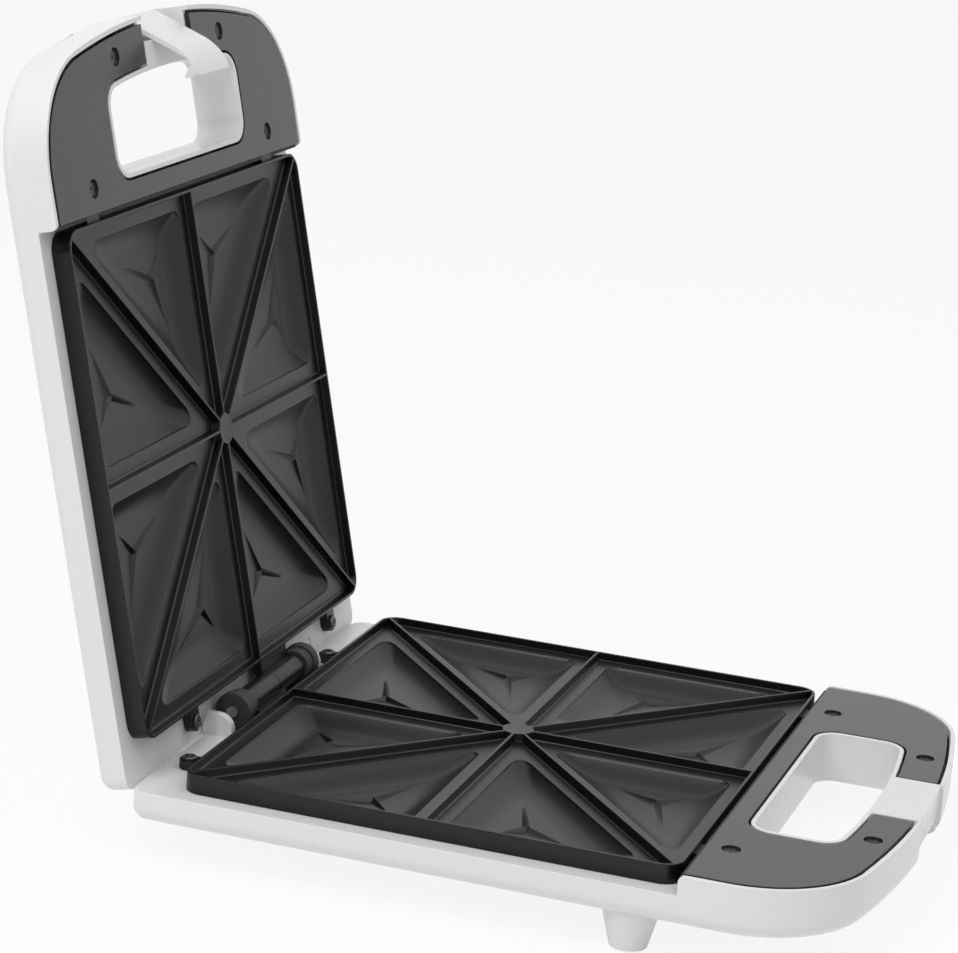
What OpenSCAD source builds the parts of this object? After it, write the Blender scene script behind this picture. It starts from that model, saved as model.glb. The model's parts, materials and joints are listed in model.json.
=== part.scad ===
/* [Cooking plates] */
// Width of a plate across the rim
plate_w = 250; // [220:1:280]
// Depth of a plate from front rim to back rim
plate_d = 216.3; // [190:0.1:240]
// Corner radius of the plate rim
plate_corner_r = 9; // [4:0.5:12]
// Height of the rim and ribs over the pocket ledges
rib_h = 3.9; // [3:0.1:5]
// Thickness of a rib at its crest
rib_t = 1.3; // [0.8:0.1:2]
// Extra thickness of a rib at its root
rib_flare = 1.6; // [0.4:0.1:2.4]
// Thickness of the cast metal
cast_t = 2.2; // [1.6:0.1:3]
// Depth of the pocket floors below the ledges
pocket_depth = 6.3; // [5:0.1:7]
// Width of the ledge round each pocket
pocket_ledge = 8; // [6.5:0.1:11]
// Corner radius of a pocket
pocket_corner_r = 5; // [3:0.5:8]
// Width of the sweep from the pocket wall to its floor
pocket_sweep = 9.5; // [6:0.5:12]
// Width of the flat octagon where the ribs meet
hub_w = 14; // [10:0.5:16]
// Height of the three-armed ridge on a pocket floor
star_h = 1.5; // [0.8:0.1:2.5]
// Height of the plate skirt, from the rim down to the housing
skirt_h = 8.4; // [7.4:0.1:9.4]

/* [Housings] */
// Room between the heating element and the floor of a housing
under_room = 1.8; // [1.7:0.1:8]
// Width of the housing beside the plate rim
side_margin = 8.5; // [8.5:0.5:14]
// Length of the housing behind the plate rim
rear_margin = 18.95; // [18.6:0.05:19.4]
// Length of the handle in front of the plate rim
handle_len = 79.45; // [76:0.05:90]
// Radius of the bowed front
bow_r = 497; // [400:1:600]
// Radius of the front corners
corner_r = 50; // [35:1:60]
// Radius of the rear corners
rear_corner_r = 6; // [5.5:0.5:9]
// Radius of the rounded outer edge
edge_r = 7; // [5:0.5:9]
// Wall thickness
wall_t = 2.2; // [1.8:0.1:2.6]
// Depth from the rim plane to the deck that carries the plate
deck_drop = 8.6; // [8.6:0.1:9]
// Gap between the two rims when the lid is shut
rim_gap = 0.8; // [0.5:0.1:1.5]

/* [Handle and trim] */
// Width of the grip opening over its lip
grip_w = 138; // [110:1:150]
// Distance of the grip opening in front of the plate rim
grip_offset = 13.15; // [12:0.05:15]
// Depth of the bar in front of the grip opening
bar_depth = 21.8; // [20:0.1:26]
// Corner radius of the grip opening
grip_corner_r = 11; // [7:0.5:15]
// Thickness of the lip round the grip opening
lip_t = 2; // [1.5:0.1:2.5]
// Thickness of the trim
trim_t = 2.4; // [2:0.1:3]
// Distance of the trim inside the housing outline
trim_inset = 3.5; // [3:0.1:5]
// Width of the open channel between the trim ends
channel_w = 49; // [46:1:60]
// Diameter of the sunk screw holes in the trim
screw_sink_d = 8; // [7:0.1:9]

/* [Hinge] */
// Opening angle of the lid in degrees
open_angle = 102.34; // [80:0.01:104]
// Diameter of the hinge pin
pin_d = 5; // [4:0.1:6]
// Distance of the hinge axis behind the plate rim
hinge_back = 11.39; // [11.1:0.01:11.8]
// Depth of the hinge axis below the rim plane of the base
hinge_drop = 0.727; // [0.4:0.001:1]
// Length of one plate knuckle along the pin
knuckle_len = 30; // [24:0.5:30]
// Outer radius of the knuckles
knuckle_r = 6; // [4.6:0.1:6.2]

/* [Latch] */
// Angle of the latch clip from its upright, resting inward, in degrees
latch_rest = 33; // [20:1:35]
// Width of the latch clip
clip_w = 35; // [30:1:38]
// Thickness of the latch clip
clip_t = 2.5; // [2:0.1:2.8]
// Distance from the latch pivot to the tooth
clip_reach = 38.3; // [38.2:0.1:39]
// Length of the tooth from the clip's inner face
tooth_len = 7.9; // [6:0.1:8.2]

/* [Feet] */
// Height of a foot below the base housing
foot_h = 18; // [12:0.5:24]
// Diameter of a foot at the housing
foot_top_d = 25; // [20:1:28]
// Diameter of a foot at the floor
foot_end_d = 16; // [13:1:19]

/* [Hidden] */
$fn = 64;

// Fits and clearances
run_gap = 0.05;
seat_gap = 0.1;
side_gap = 0.3;
thread_gap = 0.01;
over = 1;

// Steps along rounded edges and the shares that shape them
bow_steps = 10;
corner_turns = 8;
rear_turns = 3;
edge_steps = 5;
sweep_steps = 4;
corner_steps = 5;
least_corner_share = 0.2;
sliver_share = 0.02;
wedge_share = 1.2;

// Places that follow from the driving sizes
half_w = plate_w / 2 + side_margin;
front_y = -plate_d / 2 - handle_len;
rear_y = plate_d / 2 + rear_margin;
bow_y = front_y + bow_r;
hinge_y = plate_d / 2 + hinge_back;
hinge_up = -hinge_drop;
lid_axis_z = rim_gap + hinge_drop;
ledge_z = -rib_h;
pocket_floor_z = ledge_z - pocket_depth;
plate_low_z = pocket_floor_z - cast_t;
tube_r = 3;
tube_z = plate_low_z - seat_gap - tube_r;
floor_z = tube_z - tube_r - under_room;
shell_depth = wall_t - floor_z;
rim_z = foot_h + shell_depth;

// Plate pockets: a quadrant holds two right triangles on either side of its diagonal
quad_w = plate_w / 2;
quad_d = plate_d / 2;
diagonal = sqrt(quad_w * quad_w + quad_d * quad_d);
pocket_x1 = quad_w - pocket_ledge;
pocket_y0 = pocket_ledge;
pocket_x0 = (pocket_ledge * diagonal + pocket_y0 * quad_w) / quad_d;
pocket_y1 = (pocket_x1 * quad_d - pocket_ledge * diagonal) / quad_w;
pocket_leg_x = pocket_x1 - pocket_x0;
pocket_leg_y = pocket_y1 - pocket_y0;
pocket_in_r = (pocket_leg_x + pocket_leg_y - sqrt(pocket_leg_x ^ 2 + pocket_leg_y ^ 2)) / 2;
pocket_c = [pocket_x1 - pocket_in_r, pocket_y0 + pocket_in_r];
pocket_corners = [[pocket_x0, pocket_y0], [pocket_x1, pocket_y0], [pocket_x1, pocket_y1]];
wall_share = 0.45;
pocket_wall_h = pocket_depth * wall_share;
under_share = 0.6;
star_reach_share = 0.42;
star_waist_share = 1.3;
star_sunk_share = 0.1;

// Plate lugs, front tabs and hinge knuckle
lug_left = 96.5;
lug_right = 67.2;
lug_x = [-lug_left, lug_right];
lug_w = 9;
lug_drop = 4.4;
lug_back = 7.85;
lug_y = plate_d / 2 + lug_back;
tab_w = 12;
tab_t = 2.4;
knuckle_gap = 0.15;
arm_t = 4;

// Handle places
grip_back_y = -plate_d / 2 - grip_offset;
trim_back = 3.45;
trim_back_y = -plate_d / 2 - trim_back;
step_back = 1.85;
step_y = -plate_d / 2 - step_back;
step_r = 3;
cross_wall = 3.9;
cross_wall_y = step_y - cross_wall;
white_wall_t = 2;
tab_side = 30.35;
tab_front = 13.6;
screw_a = [plate_w / 2 - tab_side, -plate_d / 2 - tab_front];
bar_screw_side = 13.35;
bar_screw_front = 15.25;
screw_b = [grip_w / 2 - bar_screw_side, front_y + bar_screw_front];
boss_r = 4;
pilot_r = 1.25;
pilot_depth = 9;
shank_r = 1.5;
shank_hole_r = 1.8;
head_r = 3.2;
head_h = 1.3;
sink_depth = 1.6;
channel_wall_t = 2.5;
trim_fit = 1.1;

// Housing interior
cavity_low_h = edge_r - wall_t;
cavity_step = 2.8;
cavity_low_inset = wall_t + cavity_step;
window_margin = 3.3;
deck_t = 2.4;

// Hinge ears and well, in the frame of the base
ear_x = 37;
ear_t = 5;
ear_r = 8.4;
guard_x = 50;
guard_t = 4;
guard_front = 5;
guard_up = 2.2;
guard_round_r = 7;
well_front = 9.9;
well_depth = 17;
well_wall_t = 2.5;
pin_out = 1;
pin_end = ear_x + ear_t + pin_out;
collar_r = 7.5;
collar_gap = 0.35;
lid_recess_w = 156;
lid_recess_back = 8;
lid_recess_t = 1;

// Latch places, in the frame of the lid
latch_back = 5.1;
latch_y = front_y + latch_back;
latch_drop = 17;
latch_z = -latch_drop;
latch_pin_r = 1.5;
latch_knuckle_r = 2.8;
clip_out = 6.2;
clip_in = clip_out - clip_t;
clip_rest_v = (-latch_z - clip_in * sin(latch_rest)) / cos(latch_rest);
notch_y = latch_y + clip_rest_v * sin(latch_rest) - (clip_in - side_gap) * cos(latch_rest);
clip_tail = 1.2;
clip_end = 6.4;
toe_r = 25;
toe_share = 0.7;
knuckle_share = 0.7;
clip_corner_r = 4;
tooth_round_r = 2;
tooth_tip_t = 0.8;
recess_t = 1.5;
catch_w = 41;
catch_gap = 0.3;
catch_room = 0.8;
catch_back = tooth_len + recess_t + catch_room;
ramp_t = 4;
ramp_h = 7.2;

// Heating element, clips and reflector
loop_x = quad_w - pocket_ledge - pocket_in_r;
loop_y = quad_d - pocket_ledge - pocket_in_r;
loop_r = 20;
tail_x = 14;
tail_bend_r = 9;
tail_len = 24;
tail_y = loop_y + tail_len;
cold_pin_r = 1.2;
cold_pin_len = 6;
clip_strap_t = 0.8;
clip_strap_w = 8;
clip_ear = 5.4;
stake_r = 1.5;
stake_len = 1.5;
reflector_t = 0.6;
reflector_rim_h = 1.6;
reflector_margin_x = 13;
reflector_margin_y = 13;
reflector_r = 12;

// Electrical parts
thermostat_r = 8;
thermostat_h = 7;
thermostat_neck_r = 5;
thermostat_neck_h = 2.6;
blade_w = 4;
blade_len = 6;
blade_t = 0.8;
fuse_r = 2;
fuse_len = 11;
fuse_y = 30;
block_w = 22;
block_d = 12;
block_h = 7;
block_side = 9;
block_x = -(guard_x + well_wall_t + block_side + block_w / 2);
block_back = 7;
block_at = [block_x, plate_d / 2 + block_back];
block_screw_r = 1.6;
gland_side = 21.5;
gland_x = half_w - gland_side;
gland_back = 4;
gland_at = [gland_x, plate_d / 2 + gland_back];
gland_r = 4.8;
gland_flange_r = 6.5;
gland_flange_t = 2;
gland_bore_r = 3.2;
lamp_x = 10;
lamp_behind = 1.65;
lamp_at = [lamp_x, -plate_d / 2 + lamp_behind];
lens_r = 4;
lens_flange_r = 5;
lens_flange_t = 0.8;
lens_up = 1;
neon_r = 3;
neon_len = 6;

// Feet
foot_side = 16.5;
foot_behind = 20.15;
foot_front = [half_w - foot_side, -plate_d / 2 + foot_behind];
rear_foot_x = 50;
rear_foot_ahead = 4.15;
foot_rear = [rear_foot_x, plate_d / 2 - rear_foot_ahead];
pad_r = 5;
pad_sunk = 1.5;
pad_out = 0.4;

// Origin: centre of the open appliance's footprint on the floor
lid_edge_y = front_y + edge_r - hinge_y;
lid_edge_z = shell_depth - edge_r + lid_axis_z;
back_y = hinge_y + lid_edge_y * cos(open_angle) + lid_edge_z * sin(open_angle) + edge_r;
shift_y = -(front_y + back_y) / 2;

// Points of a convex polygon with rounded corners, counter-clockwise
function unit(v) = v / norm(v);
function corner_points(p, q, s, r) =
    let (a = unit(p - q), b = unit(s - q), m = unit(a + b), half = acos(a * b) / 2)
    let (c = q + m * r / sin(half), start = atan2(-a[0], a[1]), turn = 180 - 2 * half)
    [for (i = [0 : corner_steps]) c + r * [cos(start + turn * i / corner_steps + 180),
                                           sin(start + turn * i / corner_steps + 180)]];
function rounded(points, r) =
    let (n = len(points))
    [for (i = [0 : n - 1]) each corner_points(points[(i + n - 1) % n], points[i], points[(i + 1) % n], r)];

// Points along an arc
function arc_points(c, r, a0, a1, n) =
    [for (i = [0 : n]) c + r * [cos(a0 + (a1 - a0) * i / n), sin(a0 + (a1 - a0) * i / n)]];

// Points of the body outline, inset all round: front corner, bowed front, front corner, rear corners
function body_points(inset) =
    let (cx = half_w - corner_r, cy = bow_y - sqrt((bow_r - corner_r) ^ 2 - cx ^ 2))
    let (r = corner_r - inset, lean = asin(cx / (bow_r - corner_r)), step = 2 * lean / bow_steps)
    let (rb = max(rear_corner_r - inset, rear_corner_r * least_corner_share))
    let (bx = half_w - inset - rb, by = rear_y - inset - rb)
    concat(arc_points([-cx, cy], r, 180, 270 - lean, corner_turns),
           arc_points([0, bow_y], bow_r - inset, 270 - lean + step, 270 + lean - step, bow_steps - 2),
           arc_points([cx, cy], r, 270 + lean, 360, corner_turns),
           arc_points([bx, by], rb, 0, 90, rear_turns),
           arc_points([-bx, by], rb, 90, 180, rear_turns));

module base_place() { translate([0, shift_y, rim_z]) children(); }

module lid_place() {
    translate([0, shift_y + hinge_y, rim_z + hinge_up])
        rotate([-open_angle, 0, 0])
            translate([0, -hinge_y, -hinge_up + rim_gap])
                rotate([0, 180, 0])
                    children();
}

module mirror_x() {
    children();
    mirror([1, 0, 0]) children();
}

// Slab between two heights
module slab(z0, z1) { translate([0, 0, z0]) linear_extrude(z1 - z0) children(); }

// Profile drawn in Y and Z, pushed along X between two places
module along_x(x0, x1) { translate([x0, 0, 0]) rotate([90, 0, 90]) linear_extrude(x1 - x0) children(); }

module round_rect(w, d, r) {
    translate([-w / 2 + r, -d / 2]) square([w - 2 * r, d]);
    translate([-w / 2, -d / 2 + r]) square([w, d - 2 * r]);
    for (x = [-1, 1], y = [-1, 1]) translate([x * (w / 2 - r), y * (d / 2 - r)]) circle(r);
}

// Straight sides and back, round corners and a front that bows about one shared centre
module bowed_outline(half, back, bow, corner, back_corner, inset = 0) {
    r = corner - inset;
    cx = half - corner;
    cy = bow_y - sqrt((bow - corner) ^ 2 - cx ^ 2);
    rb = max(back_corner - inset, run_gap);
    intersection() {
        translate([0, bow_y]) circle(bow - inset, $fn = 200);
        polygon([[cx, cy], [-cx, cy], [-cx * wedge_share, bow_y + (cy - bow_y) * wedge_share],
                 [cx * wedge_share, bow_y + (cy - bow_y) * wedge_share]]);
    }
    for (s = [-1, 1]) {
        translate([s * cx, cy]) circle(r, $fn = 48);
        translate([s * (half - inset - rb), back - inset - rb]) circle(rb, $fn = 24);
    }
    translate([-half + inset, cy]) square([2 * (half - inset), back - inset - rb - cy]);
    translate([-half + inset + rb, cy]) square([2 * (half - inset - rb), back - inset - cy]);
}

module body_outline(inset = 0) { bowed_outline(half_w, rear_y, bow_r, corner_r, rear_corner_r, inset); }

module grip_outline(inset = 0) {
    bowed_outline(grip_w / 2, grip_back_y, bow_r - bar_depth, grip_corner_r, grip_corner_r, inset);
}

module in_front_of(y) { translate([-half_w - over, front_y - over]) square([2 * (half_w + over), y - front_y + over]); }

// Middle of the front bar, between the trim ends
module channel_strip(w) {
    translate([-w / 2, front_y - over]) square([w, bar_depth + over + lip_t / 2]);
}

// Solid lofted through rings of points, counter-clockwise from above and listed upward
module loft(rings) {
    n = len(rings[0]);
    m = len(rings);
    polyhedron(points = [for (ring = rings) each ring],
               faces = [[for (i = [0 : n - 1]) i],
                        for (j = [0 : m - 2], i = [0 : n - 1])
                            [j * n + i, (j + 1) * n + i, (j + 1) * n + (i + 1) % n, j * n + (i + 1) % n],
                        [for (i = [n - 1 : -1 : 0]) (m - 1) * n + i]]);
}

// Plate casting, drawn with its rim at height zero

// One ring of a pocket: its outline drawn in towards the centre of its inscribed circle
function pocket_ring(z, inset) =
    [for (p = rounded(pocket_corners, pocket_corner_r))
        let (q = pocket_c + (p - pocket_c) * (1 - inset / pocket_in_r)) [q[0], q[1], z]];

module pocket_hollow() {
    sweep_z = ledge_z - pocket_wall_h;
    sweep_h = pocket_depth - pocket_wall_h;
    loft([for (i = [sweep_steps : -1 : 0])
              let (a = 90 * i / sweep_steps)
              pocket_ring(sweep_z - sweep_h * sin(a), rib_t / 2 + pocket_sweep * (1 - cos(a))),
          pocket_ring(ledge_z + over, 0)]);
}

module pocket_shell() {
    loft([pocket_ring(plate_low_z, pocket_sweep * under_share),
          pocket_ring(ledge_z - pocket_wall_h - cast_t / 2, -cast_t),
          pocket_ring(ledge_z - cast_t / 2, -cast_t)]);
}

// Ridge with three arms that run from the pocket's centre towards its corners
module pocket_star() {
    foot_z = pocket_floor_z - star_h * star_sunk_share;
    waist = rib_t * star_waist_share;
    base = [for (i = [0 : 2])
                let (a = pocket_corners[i] - pocket_c, b = pocket_corners[(i + 1) % 3] - pocket_c)
                each [pocket_c + a * star_reach_share, pocket_c + unit(unit(a) + unit(b)) * waist]];
    polyhedron(points = [for (p = base) [p[0], p[1], foot_z], [pocket_c[0], pocket_c[1], pocket_floor_z + star_h]],
               faces = [[for (i = [0 : 5]) i], for (i = [0 : 5]) [i, 6, (i + 1) % 6]]);
}

module every_pocket() {
    for (mx = [0, 1], my = [0, 1])
        mirror([mx, 0, 0]) mirror([0, my, 0]) {
            children();
            translate([quad_w, quad_d]) rotate(180) children();
        }
}

module rib(length, angle) {
    rotate([0, 0, angle])
        translate([-length / 2, 0, 0])
            rotate([90, 0, 90])
                linear_extrude(length)
                    polygon([[-rib_t / 2, 0], [rib_t / 2, 0], [(rib_t + rib_flare) / 2, ledge_z - cast_t / 2],
                             [-(rib_t + rib_flare) / 2, ledge_z - cast_t / 2]]);
}

module rear_lug(x) {
    difference() {
        slab(-skirt_h, -lug_drop) {
            translate([x, lug_y]) circle(lug_w / 2);
            translate([x - lug_w / 2, plate_d / 2 - cast_t]) square([lug_w, lug_y - plate_d / 2 + cast_t]);
        }
        translate([x, lug_y, -skirt_h - over]) cylinder(r = shank_hole_r, h = skirt_h + over);
    }
}

module front_tab() {
    difference() {
        slab(-trim_t - seat_gap - tab_t, -trim_t - seat_gap) {
            translate(screw_a) circle(tab_w / 2);
            translate([screw_a[0] - tab_w / 2, screw_a[1]])
                square([tab_w, -plate_d / 2 + cast_t - screw_a[1]]);
        }
        translate([screw_a[0], screw_a[1], -deck_drop]) cylinder(r = shank_hole_r, h = deck_drop);
    }
}

module plate_knuckle(axis_z) {
    difference() {
        along_x(-knuckle_len, -knuckle_gap) {
            translate([hinge_y, axis_z]) circle(knuckle_r);
            translate([plate_d / 2 - cast_t, axis_z - knuckle_r]) square([hinge_back + cast_t, arm_t]);
        }
        along_x(-knuckle_len - over, over) translate([hinge_y, axis_z]) circle(pin_d / 2 + run_gap);
    }
}

module clip_stakes() {
    for (x = [-1, 1], y = [-1, 1], s = [-1, 1])
        translate([x * loop_x + s * (tube_r + clip_strap_t + clip_ear / 2), y * pocket_c[1],
                   plate_low_z - stake_len])
            cylinder(r = stake_r, h = stake_len + cast_t / 2);
}

module plate_casting(axis_z) {
    difference() {
        union() {
            slab(-skirt_h, 0) difference() {
                round_rect(plate_w, plate_d, plate_corner_r);
                round_rect(plate_w - 2 * cast_t, plate_d - 2 * cast_t, plate_corner_r - cast_t);
            }
            slab(ledge_z - cast_t, ledge_z)
                round_rect(plate_w - cast_t, plate_d - cast_t, plate_corner_r - cast_t / 2);
            every_pocket() pocket_shell();
        }
        every_pocket() pocket_hollow();
        slab(ledge_z, over)
            round_rect(plate_w - 2 * rib_t, plate_d - 2 * rib_t, plate_corner_r - rib_t);
    }
    intersection() {
        union() {
            rib(2 * diagonal, atan2(quad_d, quad_w));
            rib(2 * diagonal, -atan2(quad_d, quad_w));
            rib(plate_w, 0);
            rib(plate_d, 90);
        }
        slab(ledge_z - cast_t, 0) round_rect(plate_w - rib_t, plate_d - rib_t, plate_corner_r - rib_t / 2);
    }
    translate([0, 0, ledge_z - cast_t / 2])
        cylinder(d = hub_w / cos(180 / 8), h = rib_h + cast_t / 2, $fn = 8);
    every_pocket() pocket_star();
    for (x = lug_x) rear_lug(x);
    mirror_x() front_tab();
    plate_knuckle(axis_z);
    clip_stakes();
}

// Housing shared by base and lid, drawn with the rim plane at height zero
module outer_form() {
    hull() {
        for (i = [0 : edge_steps - 1])
            let (a = 90 * i / edge_steps, z = -shell_depth + edge_r * (1 - cos(a)))
                slab(z, z + edge_r * sliver_share) polygon(body_points(edge_r * (1 - sin(a))));
        slab(-shell_depth + edge_r, 0) polygon(body_points(0));
    }
}

module cavity_outline(inset) {
    difference() {
        body_outline(inset);
        grip_outline();
        channel_strip(channel_w + 2 * channel_wall_t);
    }
}

module trim_bay(back) {
    difference() {
        intersection() {
            body_outline(white_wall_t);
            in_front_of(back);
        }
        grip_outline();
        channel_strip(channel_w);
    }
}

module deck_cut() {
    along_x(-half_w - over, half_w + over) {
        translate([step_y, -deck_drop]) square([rear_y - step_y + over, deck_drop + over]);
        difference() {
            translate([step_y - step_r, -step_r]) square([2 * step_r, step_r + over]);
            translate([step_y - step_r, -step_r]) circle(step_r);
            translate([step_y - step_r - over, -step_r - over]) square([over, step_r + 2 * over]);
        }
    }
}

module screw_bosses() {
    seat_z = -trim_t - seat_gap - tab_t - seat_gap;
    mirror_x() {
        slab(floor_z - wall_t / 2, seat_z) translate(screw_a) circle(boss_r);
        slab(floor_z - wall_t / 2, -trim_t) translate(screw_b) circle(boss_r);
    }
    for (x = lug_x) slab(floor_z - wall_t / 2, -deck_drop - deck_t / 2) translate([x, lug_y]) circle(boss_r);
}

module screw_pilots() {
    mirror_x()
        for (p = [screw_a, screw_b])
            translate([p[0], p[1], -trim_t - tab_t - pilot_depth])
                cylinder(r = pilot_r, h = pilot_depth + tab_t + trim_t + over);
    for (x = lug_x)
        translate([x, lug_y, -deck_drop - pilot_depth])
            cylinder(r = pilot_r, h = pilot_depth + over);
}

module housing() {
    difference() {
        union() {
            difference() {
                outer_form();
                deck_cut();
                slab(floor_z, floor_z + cavity_low_h) cavity_outline(cavity_low_inset);
                slab(floor_z + cavity_low_h, -deck_drop - deck_t) cavity_outline(wall_t);
                slab(-deck_drop - deck_t - over, over) intersection() {
                    trim_bay(cross_wall_y);
                    cavity_outline(wall_t);
                }
                slab(-trim_t, over) trim_bay(step_y + over);
                mirror_x()
                    slab(-trim_t - tab_t - 2 * seat_gap, over)
                        translate([screw_a[0] - tab_w / 2 - side_gap, cross_wall_y - over])
                            square([tab_w + 2 * side_gap, step_y - cross_wall_y + 2 * over]);
            }
            screw_bosses();
        }
        slab(-shell_depth - over, over) grip_outline(lip_t);
        slab(-deck_drop - deck_t - over, -deck_drop + over)
            round_rect(plate_w - 2 * window_margin, plate_d - 2 * window_margin, plate_corner_r);
        screw_pilots();
    }
}

// Base housing with its feet, well, hinge guards and latch catch
module foot(at) {
    translate([at[0], at[1], -shell_depth - foot_h + pad_out])
        cylinder(d1 = foot_end_d, d2 = foot_top_d, h = foot_h - pad_out);
    translate([at[0], at[1], -shell_depth]) cylinder(d = foot_top_d, h = wall_t);
}

module foot_socket(at) {
    translate([at[0], at[1], -shell_depth - foot_h - over])
        cylinder(r = pad_r + run_gap, h = over + pad_out + pad_sunk);
}

module well_block() {
    slab(floor_z - wall_t / 2, -deck_drop)
        translate([-guard_x - well_wall_t, hinge_y - well_front - well_wall_t])
            square([2 * (guard_x + well_wall_t), rear_y - wall_t / 2 - hinge_y + well_front + well_wall_t]);
}

module well_hollow() {
    slab(-well_depth, over)
        translate([-guard_x, hinge_y - well_front])
            square([2 * guard_x, rear_y - wall_t - hinge_y + well_front]);
}

module hinge_guard() {
    front = hinge_y - guard_front;
    top = hinge_up + guard_up;
    along_x(guard_x, guard_x + guard_t) {
        translate([front + guard_round_r, -deck_drop - deck_t / 2])
            square([rear_y - front - guard_round_r, top + deck_drop + deck_t / 2]);
        translate([front, -deck_drop - deck_t / 2])
            square([guard_round_r, top - guard_round_r + deck_drop + deck_t / 2]);
        translate([front + guard_round_r, top - guard_round_r]) circle(guard_round_r);
    }
}

module latch_recess() {
    slab(-shell_depth - over, over) difference() {
        channel_strip(channel_w);
        body_outline(recess_t);
    }
    catch_z = rim_gap - latch_z - clip_reach + catch_gap;
    wall_y = front_y + recess_t;
    along_x(-catch_w / 2, catch_w / 2) {
        translate([front_y - over, -shell_depth - over]) square([catch_back + over, shell_depth + over + catch_z]);
        polygon([[wall_y - over, catch_z - over], [wall_y + ramp_t + over, catch_z - over], [wall_y + ramp_t, catch_z],
                 [wall_y, catch_z + ramp_h], [wall_y - over, catch_z + ramp_h]]);
    }
}

module base_shell() {
    color("whitesmoke") difference() {
        union() {
            difference() {
                union() {
                    housing();
                    well_block();
                }
                well_hollow();
            }
            mirror_x() {
                hinge_guard();
                foot(foot_front);
                foot(foot_rear);
            }
        }
        mirror_x() {
            foot_socket(foot_front);
            foot_socket(foot_rear);
        }
        latch_recess();
        translate([gland_at[0], gland_at[1], -shell_depth - over])
            cylinder(r = gland_r + run_gap, h = wall_t + 2 * over);
    }
}

module lid_shell() {
    color("white") difference() {
        housing();
        translate([-channel_w / 2, front_y - over, floor_z])
            cube([channel_w, notch_y - front_y + over, -floor_z + over]);
        along_x(-half_w, half_w)
            translate([latch_y, latch_z]) circle(latch_pin_r + run_gap);
        translate([-lid_recess_w / 2, rear_y - lid_recess_back - lid_recess_t, -deck_drop - lid_recess_t])
            cube([lid_recess_w, lid_recess_back + lid_recess_t + over, lid_recess_t + over]);
        mirror_x()
            translate([lamp_at[0], lamp_at[1], -shell_depth - over])
                cylinder(r = lens_r + run_gap, h = wall_t + 2 * over);
    }
}

module trim() {
    difference() {
        slab(-trim_t, 0) difference() {
            intersection() {
                body_outline(trim_inset);
                in_front_of(trim_back_y);
            }
            grip_outline(-trim_fit);
            channel_strip(channel_w + 2 * trim_fit);
        }
        mirror_x()
            for (p = [screw_a, screw_b])
                translate([p[0], p[1], -trim_t - over]) {
                    cylinder(r = shank_hole_r, h = trim_t + 2 * over);
                    translate([0, 0, trim_t - sink_depth + over]) cylinder(d = screw_sink_d, h = sink_depth + over);
                }
    }
}

module screw(at, head_z, length) {
    translate([at[0], at[1], head_z - head_h]) {
        cylinder(r = head_r, h = head_h);
        translate([0, 0, -length]) cylinder(r = pilot_r - thread_gap, h = length + head_h / 2);
    }
}

module trim_screws() {
    color("dimgray")
        mirror_x()
            for (p = [screw_a, screw_b]) screw(p, -sink_depth + head_h, trim_t + pilot_depth / 2);
}

module lug_screws() {
    color("dimgray")
        for (x = lug_x) screw([x, lug_y], -lug_drop + head_h, skirt_h - lug_drop + pilot_depth / 2);
}

// Heating element: one tube bent to a loop, with two cold pins at the back
module tube_x(x0, x1, y) { translate([x0, y, tube_z]) rotate([0, 90, 0]) cylinder(r = tube_r, h = x1 - x0); }

module tube_y(x, y0, y1, r = tube_r) { translate([x, y0, tube_z]) rotate([-90, 0, 0]) cylinder(r = r, h = y1 - y0); }

module tube_bend(at, r, start) {
    translate([at[0], at[1], tube_z])
        rotate([0, 0, start])
            rotate_extrude(angle = 90)
                translate([r, 0]) circle(tube_r);
}

module element() {
    color("dimgray") mirror_x() {
        tube_x(0, loop_x - loop_r, -loop_y);
        tube_bend([loop_x - loop_r, -loop_y + loop_r], loop_r, -90);
        tube_y(loop_x, -loop_y + loop_r, loop_y - loop_r);
        tube_bend([loop_x - loop_r, loop_y - loop_r], loop_r, 0);
        tube_x(tail_x + tail_bend_r, loop_x - loop_r, loop_y);
        tube_bend([tail_x + tail_bend_r, loop_y + tail_bend_r], tail_bend_r, 180);
        tube_y(tail_x, loop_y + tail_bend_r, tail_y);
        tube_y(tail_x, tail_y - tube_r, tail_y + cold_pin_len, cold_pin_r);
    }
}

module element_clips() {
    outer = tube_r + seat_gap + clip_strap_t;
    inner = tube_r + seat_gap;
    color("silver")
        for (x = [-1, 1], y = [-1, 1])
            translate([x * loop_x, y * pocket_c[1], tube_z])
                difference() {
                    translate([0, clip_strap_w / 2, 0]) rotate([90, 0, 0]) linear_extrude(clip_strap_w) {
                        difference() {
                            union() {
                                circle(outer);
                                translate([-outer, 0]) square([2 * outer, tube_r]);
                            }
                            circle(inner);
                            translate([-inner, 0]) square([2 * inner, outer]);
                        }
                        for (s = [0, 1])
                            mirror([s, 0])
                                translate([inner, tube_r - clip_strap_t]) square([clip_strap_t + clip_ear, clip_strap_t]);
                    }
                    for (s = [-1, 1])
                        translate([s * (tube_r + clip_strap_t + clip_ear / 2), 0, 0])
                            cylinder(r = stake_r + run_gap, h = outer);
                }
}

module reflector() {
    w = plate_w - 2 * reflector_margin_x;
    d = plate_d - 2 * reflector_margin_y;
    z0 = floor_z + run_gap;
    color("lightgray") {
        slab(z0, z0 + reflector_t) round_rect(w, d, reflector_r);
        slab(z0, z0 + reflector_rim_h) difference() {
            round_rect(w, d, reflector_r);
            round_rect(w - 2 * reflector_t, d - 2 * reflector_t, reflector_r - reflector_t);
        }
    }
}

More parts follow.
